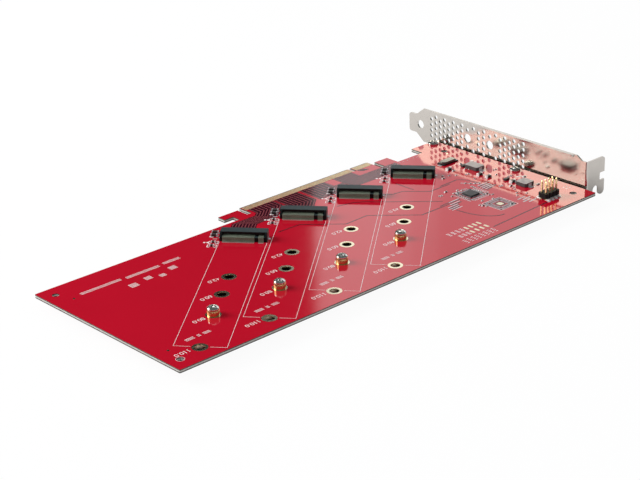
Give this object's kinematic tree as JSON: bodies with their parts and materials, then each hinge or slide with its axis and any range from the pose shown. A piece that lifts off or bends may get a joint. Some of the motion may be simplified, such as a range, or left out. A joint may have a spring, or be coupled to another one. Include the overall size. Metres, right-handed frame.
{
  "type": "nvme adapter card",
  "caption": "Full-height expansion card that carries slanted storage modules behind a wide edge connector, with a perforated slot bracket.",
  "frame": {"origin": "middle of the key notch at the tip of the edge fingers, on the component side of the board", "axes": "+X from the free end towards the bracket, +Y from the near long edge towards the edge connector, +Z out of the component side"},
  "size_m": [0.2726, 0.1271, 0.0215],
  "materials": {
    "board": "glossy red solder mask on glass fibre laminate",
    "gold": "thin gold plating",
    "socket_plastic": "moulded black thermoplastic",
    "brass": "turned, bright",
    "screw_steel": "bright nickel plated",
    "bracket_nickel": "nickel plated sheet, polished",
    "ferrite": "pressed metal powder, dull dark grey",
    "tin": "tin plated",
    "chip_plastic": "moulded chip package, matte",
    "ceramic": "fired ceramic, satin"
  },
  "bodies": {
    "root": {"circuit_board": "board", "edge_contacts_top": "gold", "edge_contacts_bottom": "gold", "module_socket_1": "socket_plastic", "module_socket_2": "socket_plastic", "module_socket_3": "socket_plastic", "module_socket_4": "socket_plastic", "module_standoffs": "brass", "standoff_nuts": "brass", "module_screws": "screw_steel", "bracket_screws": "screw_steel", "mounting_bracket": "bracket_nickel", "header_base": "socket_plastic", "header_pins": "gold", "inductor_1": "ferrite", "inductor_2": "ferrite", "inductor_1_terminals": "tin", "inductor_2_terminals": "tin", "crystal_base": "socket_plastic", "crystal_can": "tin", "clock_chip": "chip_plastic", "transistors": "chip_plastic", "bypass_capacitors": "ceramic", "bypass_capacitor_caps": "tin", "power_capacitors": "ceramic", "power_capacitor_caps": "tin", "small_capacitors": "ceramic", "small_capacitor_caps": "tin", "resistors": "chip_plastic", "resistor_caps": "tin"}
  },
  "joints": []
}
